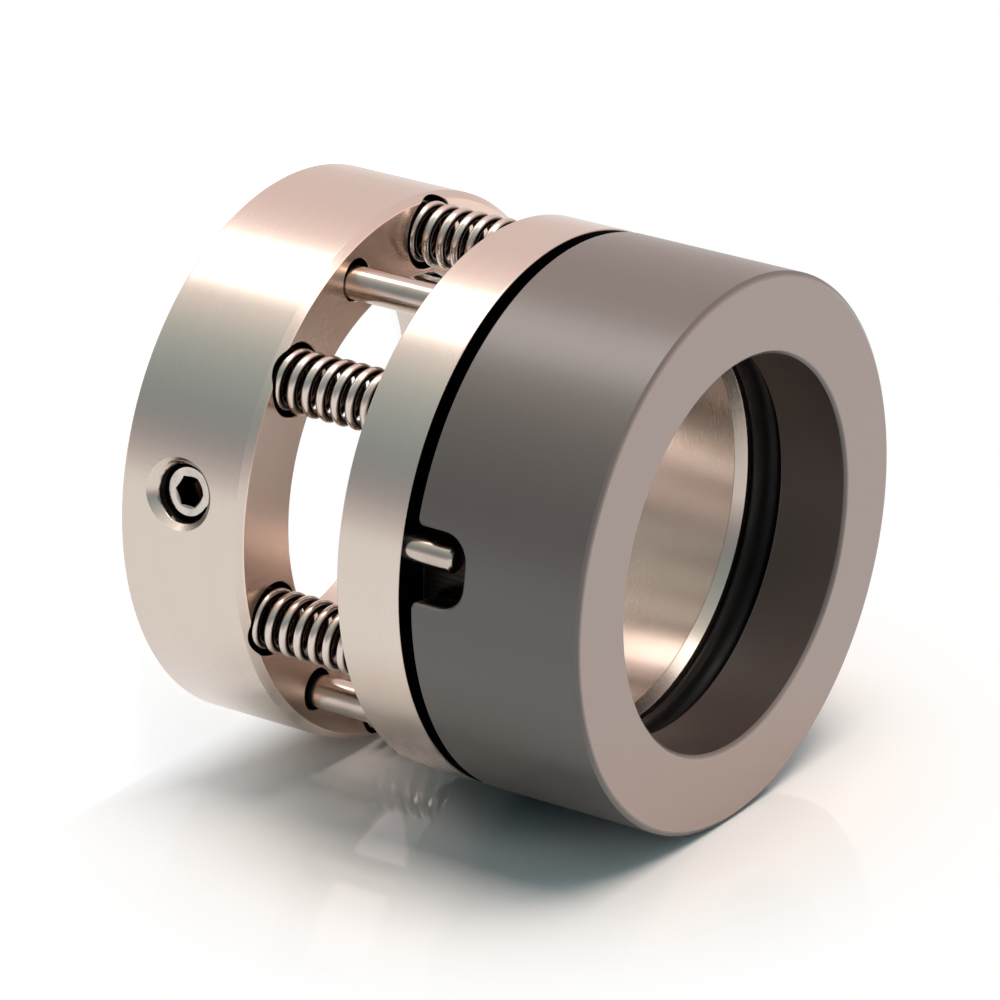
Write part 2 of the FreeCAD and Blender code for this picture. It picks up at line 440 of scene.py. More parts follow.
def finish_material(name, look):
    """Material with a Principled shader that has the constant values given, and its tree and shader."""
    material = bpy.data.materials.new(name)
    material.use_nodes = True
    shader = material.node_tree.nodes["Principled BSDF"]
    for socket, value in look.items():
        shader.inputs[socket].default_value = value
    return material, material.node_tree, shader


def surfaced(tree, shader, colour, roughness):
    """Give a shader its colour and roughness from sockets."""
    tree.links.new(colour, shader.inputs["Base Color"])
    tree.links.new(roughness, shader.inputs["Roughness"])


def bumped(tree, shader, height, depth, strength):
    """Give a shader fine relief from a height, with its depth in metres."""
    bump = add_node(tree, "ShaderNodeBump", {"Height": height, "Distance": depth, "Strength": strength})
    tree.links.new(bump.outputs["Normal"], shader.inputs["Normal"])


def turned_steel(name, painted_shades, painted_light_height=None):
    """Satin stainless, finely turned: streaks of light run across the marks of the tool."""
    material, tree, shader = finish_material(name, {
        "Metallic": 1.0, "Anisotropic": 0.75, "Anisotropic Rotation": 0.25,
    })
    marks = placed_group(tree, cut_marks, {"Spacing": 0.00012, "Length": 0.03})
    hands = placed_group(tree, handling, {"Size": 0.014, "Cover": 0.5})
    tint = tinted(tree, marks["Drift"], steel_dark, steel_light)
    # painted warm light on the face at the given height
    if painted_light_height:
        skin = (0, collar_radius, painted_light_height - face_skin, painted_light_height + face_skin)
        tint = over(tree, depth_share(tree, skin, start=0.2, end=0.38), tint, painted_face_light)
    # painted shade in the pockets, holes and gaps given
    for painted_shade in painted_shades:
        tint = over(tree, depth_share(tree, **painted_shade), tint, painted_hole_shade)
    grain = between(tree, marks["Marks"], low=0.25, high=0.28)
    surfaced(tree, shader, tint, worked(tree, "MULTIPLY_ADD", hands["Clouds"], cloud_dulling, grain))
    bumped(tree, shader, marks["Marks"], depth=0.0000005, strength=0.1)
    return material


# painted shade in the pockets and pin holes, and with a ragged edge in the tapped holes below them
pocket_painted_shade = {
    "limits": (bore_radius, collar_radius, below_pockets, collar_width),
    "start": hole_shade_start, "end": hole_shade_end, "chamfer": collar_chamfer,
}
screw_hole_painted_shade = {
    "limits": (bore_radius, collar_radius, 0, below_pockets),
    "start": 1.1, "end": 1.6, "ragged": 1.4,
}
# the collar's front face gets painted warm light at its height
collar_steel = turned_steel("collar steel", [pocket_painted_shade, screw_hole_painted_shade], collar_width)
collar_outline = eased([
    (bore_radius, 0, collar_back_round),
    (collar_radius, 0, collar_back_round),
    (collar_radius, collar_width - collar_chamfer, collar_chamfer_round),
    (collar_radius - collar_chamfer, collar_width, collar_chamfer_round),
    (bore_radius, collar_width, edge_break),
])
collar_cuts = []
for k in range(spring_count):
    pocket = drilled(pocket_radius, pocket_depth, collar_width)
    collar_cuts.append(at_angle(pocket, first_spring_angle + 360 / spring_count * k, drive_circle_radius))
for k in range(pin_count):
    pin_hole = drilled(pin_hole_radius, pin_hole_depth, collar_width)
    collar_cuts.append(at_angle(pin_hole, first_pin_angle + 360 / pin_count * k, drive_circle_radius))
    collar_cuts.append(pointing_out(screw_hole(), 360 / screw_count * k, bore_radius, screw_height))
made_piece("collar_ring", cut(turned(collar_outline), collar_cuts), collar_steel, "collar",
           "drive_collar")

# Set screws
# Three headless screws of bright steel, with a rolled eight millimetre thread, a broached hexagon socket
# outside and a cup inside. The cup's rim bites into the shaft when the screw is tightened.
screw_radius = 3.95
screw_root_radius = 3.3
screw_end_chamfer = 0.6
screw_tip_gap = 0.8
screw_length = 8.0
cup_radius = 2.5
cup_rim = 0.05
cup_depth = 1.25
cup_floor_radius = 0.3
socket_width = 4.0
socket_radius = socket_width / 2 / math.cos(math.pi / 6)
socket_depth = 4.0
drill_point_depth = 0.9
drill_point_share = 0.82
socket_mouth_radius = 2.45
socket_mouth_slope = 0.6
socket_mouth_past = 0.6
screw_bright = (0.66, 0.60, 0.55)
screw_dull = (0.50, 0.44, 0.39)
# painted shade for the screws' threads and sockets
screw_painted_shade = (0.060, 0.024, 0.016)


def hexagon_socket():
    """Cutter for the socket, with a drill point at its bottom."""
    corners = [(math.cos(math.pi / 3 * k), math.sin(math.pi / 3 * k)) for k in range(6)]
    bottom = screw_length - socket_depth
    rings = [[(0, 0, bottom - drill_point_depth)]]
    outline = [(socket_radius * drill_point_share, bottom), (socket_radius, bottom),
               (socket_radius, screw_length + past)]
    for radius, z in outline:
        rings.append([(radius * x, radius * y, z) for x, y in corners])
    return wall_between(rings, closed=False)


def socket_mouth():
    """Cutter for the cone that leads a key into the socket."""
    top = screw_length + socket_mouth_past * socket_mouth_slope
    outline = [
        (0, screw_length - socket_mouth_radius * socket_mouth_slope),
        (socket_mouth_radius, screw_length),
        (socket_mouth_radius + socket_mouth_past, top),
        (0, top),
    ]
    return turned(outline, small_steps, closed=False)


def screw_body():
    """Threaded rod, chamfered at its top, with a cup at its point and the socket cut into it."""
    def radius_at(z, turn):
        thread = screw_root_radius + (screw_radius - screw_root_radius) * thread_ridge(z, turn)
        point = cup_radius + cup_rim + z
        top = screw_radius - screw_end_chamfer + (screw_length - z)
        return min(thread, point, top)

    ends = [(0, cup_depth), (cup_floor_radius, cup_depth), (cup_radius, 0)]
    body = threaded(0, screw_length, radius_at, ends)
    return cut(cut(body, [hexagon_socket()]), [socket_mouth()])


def screw_steel():
    """Bright steel, with painted shade in the thread and the socket."""
    material, tree, shader = finish_material("screw steel", {"Metallic": 1.0})
    hands = placed_group(tree, handling, {"Size": 0.003, "Cover": 0.45})
    tint = tinted(tree, hands["Clouds"], screw_bright, screw_dull)
    face = bore_radius + screw_tip_gap + screw_length
    # painted shade on the screw's thread, socket and cup, away from its outer face
    painted_shade = depth_share(tree, (0, face, 0, collar_width), start=0.1, end=0.6, ragged=0.3)
    rough = between(tree, hands["Clouds"], low=0.14, high=0.28)
    surfaced(tree, shader, over(tree, painted_shade, tint, screw_painted_shade), rough)
    bumped(tree, shader, hands["Specks"], depth=0.00001, strength=0.3)
    return material


bright_screw = screw_steel()
for k in range(screw_count):
    screw = pointing_out(screw_body(), 360 / screw_count * k, bore_radius + screw_tip_gap, screw_height)
    made_piece(f"screw_{k + 1}", screw, bright_screw, f"screw_{k + 1}", f"set_screw_{k + 1}",
               sharp_above=40)

# Springs
# Six small compression springs, coiled left-hand from bright stainless wire, with their end coils closed and
# ground flat. Each stands loose in a pocket of the collar and pushes on the back of the thrust ring.
spring_low, spring_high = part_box("spring_1")
flange_back = spring_high.z / mm
spring_sizes = {
    "Wire Diameter": 1.4 * mm,
    "Outer Diameter": 9.0 * mm,
    "Length": spring_high.z - spring_low.z,
    "Active Coils": 7.0,
    "Closed Coils": 0.75,
    "Closed Pitch": 1.48 * mm,
    "Ground Off": 0.35 * mm,
    "Tip Angle": math.radians(200),
}
coil_points = 401
wire_sides = 18
ground_end_sharp = 50
wire_dark = (0.62, 0.53, 0.47)
wire_light = (0.74, 0.66, 0.60)
# painted shade for the inner side of the coils
wire_painted_shade = (0.035, 0.020, 0.014)


def spring_tree(wire):
    """Geometry nodes that coil one spring about a place, with closed ends ground flat."""
    tree = bpy.data.node_groups.new("coil spring", "GeometryNodeTree")
    tree.interface.new_socket("Geometry", in_out="INPUT", socket_type="NodeSocketGeometry")
    for label in spring_sizes:
        tree.interface.new_socket(label, in_out="INPUT", socket_type="NodeSocketFloat")
    tree.interface.new_socket("Place", in_out="INPUT", socket_type="NodeSocketVector")
    tree.interface.new_socket("Geometry", in_out="OUTPUT", socket_type="NodeSocketGeometry")
    takes = tree.nodes.new("NodeGroupInput").outputs
    gives = tree.nodes.new("NodeGroupOutput").inputs

    line = add_node(tree, "GeometryNodeCurvePrimitiveLine", {})
    fine = add_node(tree, "GeometryNodeResampleCurve", {"Curve": line.outputs[0], "Count": coil_points},
                    mode="COUNT")
    share = add_node(tree, "GeometryNodeSplineParameter", {}).outputs["Factor"]
    total = worked(tree, "MULTIPLY_ADD", takes["Closed Coils"], 2.0, takes["Active Coils"])
    turns = worked(tree, "MULTIPLY", share, total)
    first = worked(tree, "MINIMUM", turns, takes["Closed Coils"])
    past_open = worked(tree, "ADD", worked(tree, "SUBTRACT", turns, total), takes["Closed Coils"])
    closed = worked(tree, "ADD", first, worked(tree, "MAXIMUM", past_open, 0.0))
    wire_radius = worked(tree, "MULTIPLY", takes["Wire Diameter"], 0.5)
    low = worked(tree, "SUBTRACT", wire_radius, takes["Ground Off"])
    shut_coils = worked(tree, "MULTIPLY", takes["Closed Coils"], 2.0)
    shut = worked(tree, "MULTIPLY", shut_coils, takes["Closed Pitch"])
    rise = worked(tree, "SUBTRACT", worked(tree, "MULTIPLY_ADD", low, -2.0, takes["Length"]), shut)
    pitch = worked(tree, "DIVIDE", rise, takes["Active Coils"])
    closed_rise = worked(tree, "MULTIPLY_ADD", closed, takes["Closed Pitch"], low)
    height = worked(tree, "MULTIPLY_ADD", worked(tree, "SUBTRACT", turns, closed), pitch, closed_rise)
    angle = worked(tree, "MULTIPLY_ADD", turns, -2 * math.pi, takes["Tip Angle"])
    middle_width = worked(tree, "SUBTRACT", takes["Outer Diameter"], takes["Wire Diameter"])
    radius = worked(tree, "MULTIPLY", middle_width, 0.5)
    along_x = worked(tree, "MULTIPLY", radius, worked(tree, "COSINE", angle))
    along_y = worked(tree, "MULTIPLY", radius, worked(tree, "SINE", angle))
    coiled = add_node(tree, "GeometryNodeSetPosition", {
        "Geometry": fine.outputs[0], "Position": vector_of(tree, along_x, along_y, height),
    })
    upright = add_node(tree, "GeometryNodeSetCurveNormal", {"Curve": coiled.outputs[0]}, mode="Z_UP")
    section = add_node(tree, "GeometryNodeCurvePrimitiveCircle", {
        "Resolution": wire_sides, "Radius": wire_radius,
    })
    side = tree.nodes.new("GeometryNodeCaptureAttribute")
    side.capture_items.new("VECTOR", "Side")
    tree.links.new(section.outputs["Curve"], side.inputs["Geometry"])
    tree.links.new(add_node(tree, "GeometryNodeInputPosition", {}).outputs[0], side.inputs["Side"])
    run = tree.nodes.new("GeometryNodeCaptureAttribute")
    run.capture_items.new("FLOAT", "Run")
    tree.links.new(upright.outputs[0], run.inputs["Geometry"])
    tree.links.new(add_node(tree, "GeometryNodeSplineParameter", {}).outputs["Length"], run.inputs["Run"])
    swept = add_node(tree, "GeometryNodeCurveToMesh", {
        "Curve": run.outputs["Geometry"], "Profile Curve": side.outputs["Geometry"], "Fill Caps": True,
    })
    across = parts_of(tree, side.outputs["Side"])
    marked = add_node(tree, "GeometryNodeStoreNamedAttribute", {
        "Geometry": swept.outputs[0], "Name": "drawn",
        "Value": vector_of(tree, across["X"], across["Y"], run.outputs["Run"]),
    }, data_type="FLOAT_VECTOR", domain="POINT")
    here = parts_of(tree, add_node(tree, "GeometryNodeInputPosition", {}).outputs[0])
    ground = worked(tree, "MINIMUM", worked(tree, "MAXIMUM", here["Z"], 0.0), takes["Length"])
    ends = add_node(tree, "GeometryNodeSetPosition", {
        "Geometry": marked.outputs[0], "Position": vector_of(tree, here["X"], here["Y"], ground),
    })
    placed = add_node(tree, "GeometryNodeTransform", {
        "Geometry": ends.outputs[0], "Translation": takes["Place"],
    })
    real = add_node(tree, "GeometryNodeRealizeInstances", {"Geometry": placed.outputs[0]})
    coated = add_node(tree, "GeometryNodeSetMaterial", {"Geometry": real.outputs[0], "Material": wire})
    tree.links.new(coated.outputs[0], gives[0])
    return tree


def wire_steel():
    """Bright drawn wire: polished, with faint lines of the die along it, and painted shade inside the coil.
    """
    die_lines = (6000, 6000, 120)
    flank_share = 0.6
    inside_shade_start, inside_shade_full = -0.25 * mm, 0.15 * mm
    material, tree, shader = finish_material("spring wire", {"Metallic": 1.0})
    drawn = add_node(tree, "ShaderNodeAttribute", {}, attribute_name="drawn").outputs["Vector"]
    stretch = add_node(tree, "ShaderNodeMapping", {"Vector": drawn, "Scale": die_lines})
    lines = noise(tree, stretch.outputs[0], scale=1.0, detail=2.0)
    tint = tinted(tree, lines, wire_dark, wire_light)
    sides = parts_of(tree, drawn)
    flank = worked(tree, "ABSOLUTE", sides["Y"])
    # painted shade on the side of the wire that faces into the coil
    turned_in = worked(tree, "MULTIPLY_ADD", flank, flank_share, sides["X"])
    inside = rising(tree, turned_in, inside_shade_start, inside_shade_full)
    surfaced(tree, shader, over(tree, inside, tint, wire_painted_shade), between(tree, lines, low=0.12, high=0.26))
    bumped(tree, shader, lines, depth=0.000004, strength=0.3)
    return material


coiling = spring_tree(wire_steel())
for k in range(spring_count):
    name = f"spring_{k + 1}"
    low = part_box(name)[0]
    spring = new_object(f"coil_{k + 1}", bpy.data.meshes.new(f"coil_{k + 1}"))
    coils = spring.modifiers.new("coils", "NODES")
    coils.node_group = coiling
    turn = math.radians(first_spring_angle + 360 / spring_count * k)
    foot = (drive_circle_radius * mm * math.cos(turn), drive_circle_radius * mm * math.sin(turn), low.z)
    for socket in coiling.interface.items_tree:
        if socket.in_out == "INPUT" and socket.name in spring_sizes:
            coils[socket.identifier] = spring_sizes[socket.name]
        if socket.name == "Place":
            coils[socket.identifier] = foot
    made = plain_mesh(spring)
    spring.modifiers.clear()
    made.shade_smooth()
    made.set_sharp_from_angle(angle=math.radians(ground_end_sharp))
    spring.data = made
    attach(spring, "collar")
    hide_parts(name)
    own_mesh(spring)

# Drive pins
# Three ground dowels of hardened stainless, pressed into the back of the thrust ring. Their free ends slide
# in the collar's holes and turn the thrust ring with the shaft.
pin_chamfer = 0.5
pin_edge_round = 0.15
dowel_light = (0.56, 0.48, 0.42)
dowel_dark = (0.46, 0.39, 0.33)


def dowel(node):
    """Ground pin that fills the box of its node, with both ends chamfered."""
    low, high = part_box(node)
    radius = (high.x - low.x) / 2 / mm
    bottom, top = low.z / mm, high.z / mm
    outline = eased([
        (0, bottom, 0),
        (radius - pin_chamfer, bottom, pin_edge_round),
        (radius, bottom + pin_chamfer, pin_edge_round),
        (radius, top - pin_chamfer, pin_edge_round),
        (radius - pin_chamfer, top, pin_edge_round),
        (0, top, 0),
    ])
    mesh = turned(outline, small_steps, closed=False)
    centre = (low + high) / 2
    mesh.transform(Matrix.Translation((centre.x, centre.y, 0)))
    return mesh


def ground_steel():
    """Dowel steel, centreless ground: nearly a mirror, with very fine rings."""
    material, tree, shader = finish_material("ground steel", {
        "Metallic": 1.0, "Anisotropic": 0.4, "Anisotropic Rotation": 0.25,
    })
    marks = placed_group(tree, cut_marks, {"Spacing": 0.00012, "Length": 0.004})
    hands = placed_group(tree, handling, {"Size": 0.006, "Cover": 0.5})
    tint = tinted(tree, hands["Clouds"], dowel_light, dowel_dark)
    surfaced(tree, shader, tint, between(tree, marks["Marks"], low=0.14, high=0.24))
    bumped(tree, shader, marks["Marks"], depth=0.000002, strength=0.3)
    return material


dowel_steel = ground_steel()
for k in range(pin_count):
    made_piece(f"long_pin_{k + 1}", dowel(f"drive_pin_{k + 1}"), dowel_steel, "thrust",
               f"drive_pin_{k + 1}")

# Thrust ring
# A flange and a nose turned in one piece from the same bar as the collar. The springs push its back, its nose
# reaches into the face ring and presses on the O-ring. The nose's mouth has a lead-in, to slide on the shaft.
thrust_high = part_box("thrust_ring")[1]
thrust_radius = thrust_high.x / mm
nose_front = thrust_high.z / mm
flange_width = 10.0
flange_front = flange_back + flange_width
nose_radius = 33.35
nose_mouth_round = 0.1
lead_length = 1.6
lead_depth = 0.9
lead_round = 0.3
fillet = 0.3
drive_pin_seat = 8.0
face_pin_seat = 6.0
nose_shade_past = 0.25


def pin_seat(node, bottom, top):
    """Cutter for the seat that a pin is pressed into, between two heights."""
    low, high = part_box(node)
    radius = (high.x - low.x) / 2 / mm
    seat = turned([(0, bottom), (radius, bottom), (radius, top), (0, top)], small_steps, closed=False)
    middle = (low + high) / 2
    seat.transform(Matrix.Translation((middle.x, middle.y, 0)))
    return seat


thrust_outline = eased([
    (bore_radius, flange_back, edge_break),
    (thrust_radius, flange_back, edge_break),
    (thrust_radius, flange_front, edge_break),
    (nose_radius, flange_front, fillet),
    (nose_radius, nose_front, edge_break),
    (bore_radius + lead_depth, nose_front, nose_mouth_round),
    (bore_radius, nose_front - lead_length, lead_round),
])
pin_seats = []
for k in range(pin_count):
    pin_seats.append(pin_seat(f"drive_pin_{k + 1}", flange_back - past, flange_back + drive_pin_seat))
    pin_seats.append(pin_seat(f"face_pin_{k + 1}", flange_front - face_pin_seat, flange_front + past))
# painted shade on the flange's front and the nose's outside, in the gap under the face ring
nose_painted_shade = {
    "limits": (nose_radius - nose_shade_past, thrust_radius, flange_back, nose_front + past),
    "start": hole_shade_start, "end": hole_shade_end,
}
flange_steel = turned_steel("flange steel", [nose_painted_shade])
made_piece("flange_ring", cut(turned(thrust_outline), pin_seats), flange_steel, "thrust",
           "thrust_ring")

# Face pins
# Three short dowels of the same ground stainless as the drive pins, pressed into the front of the flange.
# Each stands in a notch of the face ring and drives it, with play on both sides.
for k in range(pin_count):
    made_piece(f"short_pin_{k + 1}", dowel(f"face_pin_{k + 1}"), dowel_steel, "thrust",
               f"face_pin_{k + 1}")

# O-ring
# One moulded ring of black fluorocarbon rubber, slipped over the shaft between the nose and the face ring's
# land. The mould leaves a thin parting line round its inside and outside.
ring_low, ring_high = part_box("o_ring")
solid_section_sides = 8
section_limit = 2.85
section_half = (ring_high.z - ring_low.z) / 2 / mm
section_radius = min(section_half / math.cos(math.pi / solid_section_sides), section_limit)
bore_gap = 0.05
section_middle = bore_radius + bore_gap + section_radius
section_height = nose_front + section_radius
section_steps = 72
parting_rise = 0.04
parting_sharp = 60
rubber_dark = (0.003, 0.003, 0.003)
rubber_bloom = (0.006, 0.005, 0.005)
o_ring_outline = []
for step in range(section_steps):
    turn = 2 * math.pi * step / section_steps
    radius = section_radius - (0.0 if step in (0, section_steps // 2) else parting_rise)
    across, up = radius * math.cos(turn), radius * math.sin(turn)
    o_ring_outline.append((section_middle + across, section_height + up))


def moulded_rubber():
    """Satin black rubber with a faint bloom."""
    material, tree, shader = finish_material("moulded rubber", {"Specular IOR Level": 0.15})
    hands = placed_group(tree, handling, {"Size": 0.004, "Cover": 0.4})
    tint = tinted(tree, hands["Clouds"], rubber_dark, rubber_bloom)
    surfaced(tree, shader, tint, between(tree, hands["Clouds"], low=0.32, high=0.5))
    bumped(tree, shader, hands["Specks"], depth=0.00002, strength=0.2)
    return material


made_piece("rubber_ring", turned(o_ring_outline), moulded_rubber(), "thrust", "o_ring",
           sharp_above=parting_sharp)

# Face ring
# Silicon carbide, pressed, sintered and ground, with its front lapped dead flat. The skirt behind the land is
# counterbored over the nose and the O-ring, and has a round-ended notch for each face pin.
face_low, face_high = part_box("face_ring")
face_radius = face_high.x / mm
skirt_back = face_low.z / mm
seal_face = face_high.z / mm
counterbore_radius = 33.6
counterbore_round = 0.4
land_back = 63.7
land_round = 0.3
face_chamfer_width = 0.8
face_chamfer_height = 0.55
face_chamfer_rounds = (0.08, 0.06)
bore_edge_break = 0.5
bore_edge_round = 0.05
notch_width = 10.6
notch_depth = 8.1
notch_corner = 3.9
notch_mouth_round = 0.8
notch_edge_break = 0.3
notch_angle = 1.0
notch_root_radius = 31.0
notch_round_steps = 8
carbide_dark = (0.094, 0.077, 0.069)
carbide_light = (0.108, 0.089, 0.079)
lapped_grey = (0.370, 0.303, 0.274)
bore_brown = (0.032, 0.021, 0.018)
gap_shade = (0.010, 0.009, 0.008)
lapped_depth = 0.3
lapped_skin = 0.02
bore_skin = 0.3
nose_gap_past = 0.5
carbide_dulling = 0.015
bore_dulling = 0.12
face_outline = eased([
    (bore_radius, land_back, land_round),
    (counterbore_radius, land_back, counterbore_round),
    (counterbore_radius, skirt_back, edge_break),
    (face_radius, skirt_back, edge_break),
    (face_radius, seal_face - face_chamfer_height, face_chamfer_rounds[0]),
    (face_radius - face_chamfer_width, seal_face, face_chamfer_rounds[1]),
    (bore_radius + bore_edge_break, seal_face, bore_edge_round),
    (bore_radius, seal_face - bore_edge_break, bore_edge_round),
])


def notch_corners():
    """Outline of a notch, from one side of its mouth to the other: (y, z), and the way out of it there."""
    side = notch_width / 2
    ease = notch_mouth_round
    end = skirt_back + notch_depth - notch_corner
    rounds = [
        (-side - ease, skirt_back + ease, ease, -90, 90, -1),
        (-side + notch_corner, end, notch_corner, 180, -90, 1),
        (side - notch_corner, end, notch_corner, 90, -90, 1),
        (side + ease, skirt_back + ease, ease, 180, 90, -1),
    ]
    points = []
    for y, z, radius, start, sweep, outward in rounds:
        for step in range(notch_round_steps + 1):
            turn = math.radians(start + sweep * step / notch_round_steps)
            way = (math.cos(turn), math.sin(turn))
            points.append((y + radius * way[0], z + radius * way[1], outward * way[0], outward * way[1]))
    first, last = points[0], points[-1]
    below = skirt_back - past
    return points + [(last[0], below, 0, 0), (first[0], below, 0, 0)]


def notch_cutter():
    """Cutter with parallel flanks, wider at the outside so that the notch's edge is broken."""
    widened = [
        (notch_root_radius, 0),
        (face_radius - notch_edge_break, 0),
        (face_radius, notch_edge_break),
        (face_radius + notch_edge_break, 2 * notch_edge_break),
        (face_radius + 3 * past, 2 * notch_edge_break),
    ]
    corners = notch_corners()
    rings = []
    for radius, wider in widened:
        ring = []
        for y, z, out_y, out_z in corners:
            wide = y + wider * out_y
            ring.append((math.sqrt(radius * radius - wide * wide), wide, z + wider * out_z))
        rings.append(ring)
    return wall_between(rings, closed=False)


def ground_carbide():
    """Dense grey carbide, diamond ground: a soft sheen, fine rings and a lapped front."""
    material, tree, shader = finish_material("ground carbide", {"IOR": 1.8})
    marks = placed_group(tree, cut_marks, {"Spacing": 0.00012, "Length": 0.04})
    hands = placed_group(tree, handling, {"Size": 0.010, "Cover": 0.48})
    height = parts_of(tree, object_place(tree))["Z"]
    lapped = rising(tree, height, (seal_face - lapped_depth) * mm, (seal_face - lapped_skin) * mm)
    bore_limits = (0, bore_radius + bore_skin, land_back - past, seal_face - bore_edge_break)
    bore = depth_share(tree, bore_limits, start=0, end=0.2)
    notch_limits = (counterbore_radius - nose_gap_past, face_radius, skirt_back,
                    skirt_back + notch_depth + past)
    shade = depth_share(tree, notch_limits, start=0.1, end=1.6)
    tint = tinted(tree, marks["Marks"], carbide_dark, carbide_light)
    for share, colour in ((lapped, lapped_grey), (bore, bore_brown), (shade, gap_shade)):
        tint = over(tree, share, tint, colour)
    grain = between(tree, marks["Marks"], low=0.30, high=0.33)
    rough = worked(tree, "MULTIPLY_ADD", hands["Clouds"], carbide_dulling, grain)
    surfaced(tree, shader, tint, worked(tree, "MULTIPLY_ADD", bore, bore_dulling, rough))
    tree.links.new(worked(tree, "MAXIMUM", lapped, shade), shader.inputs["Metallic"])
    bumped(tree, shader, marks["Marks"], depth=0.0000005, strength=0.1)
    return material


face_cuts = [at_angle(notch_cutter(), notch_angle + 360 / pin_count * k) for k in range(pin_count)]
made_piece("carbide_ring", cut(turned(face_outline), face_cuts), ground_carbide(), "face",
           "face_ring")

# Floor and table
# A pale floor that the head stands on, and a pale upright table top beside it, where it would lie on its
# side, clear from behind. Both show the head's soft shadow and run out to plain white, as the floor does
# inside the bore and the table top at its foot. Close to the head the table top also has a painted teal
# shadow. Sizes are in metres.
floor_size = 3.0
table_angle = 100.0
table_lean = -90.0
shade_height = 0.045
shade_stretch = 1.12
# the table top's painted shadow: its colour goes over to the tint within these distances from the head
painted_shadow_start = 0.040
painted_shadow_end = 0.049
foot_fade = 0.018
core_inner, core_outer = 0.95, 1.05
polish_roughness = 0.07
bounce = 0.4
white = (1, 1, 1, 1)


def mixed(tree, share, first, second):
    """Shader that goes from the first to the second by a share."""
    return add_node(tree, "ShaderNodeMixShader", {0: share, 1: first, 2: second}).outputs[0]


def pale_surface(name, colour, glow, gloss, fade_start, fade_end, foot, painted_shadow_tint=(1.0, 1.0, 1.0)):
    """White with the head's shadow near it, deepened by a painted shadow tint where one is given, plain white
    further off, and clear from behind.
    """
    material = bpy.data.materials.new(name)
    material.use_nodes = True
    tree = material.node_tree
    tree.nodes.clear()
    place = object_place(tree)
    parts = parts_of(tree, place)
    beside = add_node(tree, "ShaderNodeVectorMath", {0: place, 1: (0, 0, shade_height)}, operation="SUBTRACT")
    along = add_node(tree, "ShaderNodeVectorMath", {0: beside.outputs[0], 1: (1, 1, shade_stretch)},
                     operation="MULTIPLY")
    length = add_node(tree, "ShaderNodeVectorMath", {0: along.outputs[0]}, operation="LENGTH")
    from_head = length.outputs["Value"]
    far = rising(tree, from_head, fade_start, fade_end, "SMOOTHSTEP")
    core = rising(tree, distance_out(tree, parts), core_outer * bore_radius * mm,
                  core_inner * bore_radius * mm)
    low = rising(tree, parts["Z"], foot, foot - foot_fade, "SMOOTHSTEP")
    plain = worked(tree, "MAXIMUM", far, worked(tree, "MAXIMUM", core, low))
    # painted shadow: near the head the colour goes over to the painted shadow tint
    clear = rising(tree, from_head, painted_shadow_start, painted_shadow_end, "SMOOTHSTEP")
    shaded = tinted(tree, clear, [a * b for a, b in zip(colour, painted_shadow_tint)], colour)
    matt = add_node(tree, "ShaderNodeBsdfDiffuse", {"Color": shaded})
    polish = add_node(tree, "ShaderNodeBsdfGlossy", {"Color": white, "Roughness": polish_roughness})
    surface = mixed(tree, gloss, matt.outputs[0], polish.outputs[0])
    haze = add_node(tree, "ShaderNodeEmission", {"Color": white, "Strength": glow})
    near = add_node(tree, "ShaderNodeAddShader", {0: surface, 1: haze.outputs[0]})
    bright = add_node(tree, "ShaderNodeEmission", {"Color": white, "Strength": 1.0})
    lit = mixed(tree, plain, near.outputs[0], bright.outputs[0])
    path = add_node(tree, "ShaderNodeLightPath", {}).outputs
    seen = worked(tree, "MAXIMUM", path["Is Camera Ray"], path["Is Glossy Ray"])
    shown = worked(tree, "MAXIMUM", seen, path["Is Transmission Ray"])
    dim = add_node(tree, "ShaderNodeBsdfDiffuse", {"Color": (bounce, bounce, bounce, 1)})
    face = mixed(tree, shown, dim.outputs[0], lit)
    behind = add_node(tree, "ShaderNodeBsdfTransparent", {})
    side = add_node(tree, "ShaderNodeNewGeometry", {})
    both = mixed(tree, side.outputs["Backfacing"], face, behind.outputs[0])
    add_node(tree, "ShaderNodeOutputMaterial", {"Surface": both})
    return material


def sheet_of(name, material, place):
    """Square sheet in the XY plane, put in place, with its material."""
    half = floor_size / 2
    corners = [(-half, -half, 0), (half, -half, 0), (half, half, 0), (-half, half, 0)]
    mesh = bpy.data.meshes.new(name)
    mesh.from_pydata(corners, [], [(0, 1, 2, 3)])
    mesh.transform(place)
    mesh.materials.append(material)
    sheet = new_object(name, mesh)
    return sheet


pale_floor = pale_surface("pale floor", colour=(0.86, 0.85, 0.84), glow=0.72, gloss=0.0,
                          fade_start=0.058, fade_end=0.088, foot=-1.0)
floor = sheet_of("floor", pale_floor, Matrix.Translation((0, 0, 0)))
floor.visible_glossy = False
floor.visible_shadow = False
pale_table = pale_surface("pale table", colour=(0.92, 0.91, 0.90), glow=0.0, gloss=0.14,
                          fade_start=0.052, fade_end=0.088, foot=0.014, painted_shadow_tint=(0.28, 0.38, 0.42))
beside_head = Matrix.Translation((collar_radius * mm, 0, 0)) @ turn_by(table_lean, "Y")
table_top = sheet_of("table_top", pale_table, turn_by(table_angle, "Z") @ beside_head)
table_top.visible_shadow = False

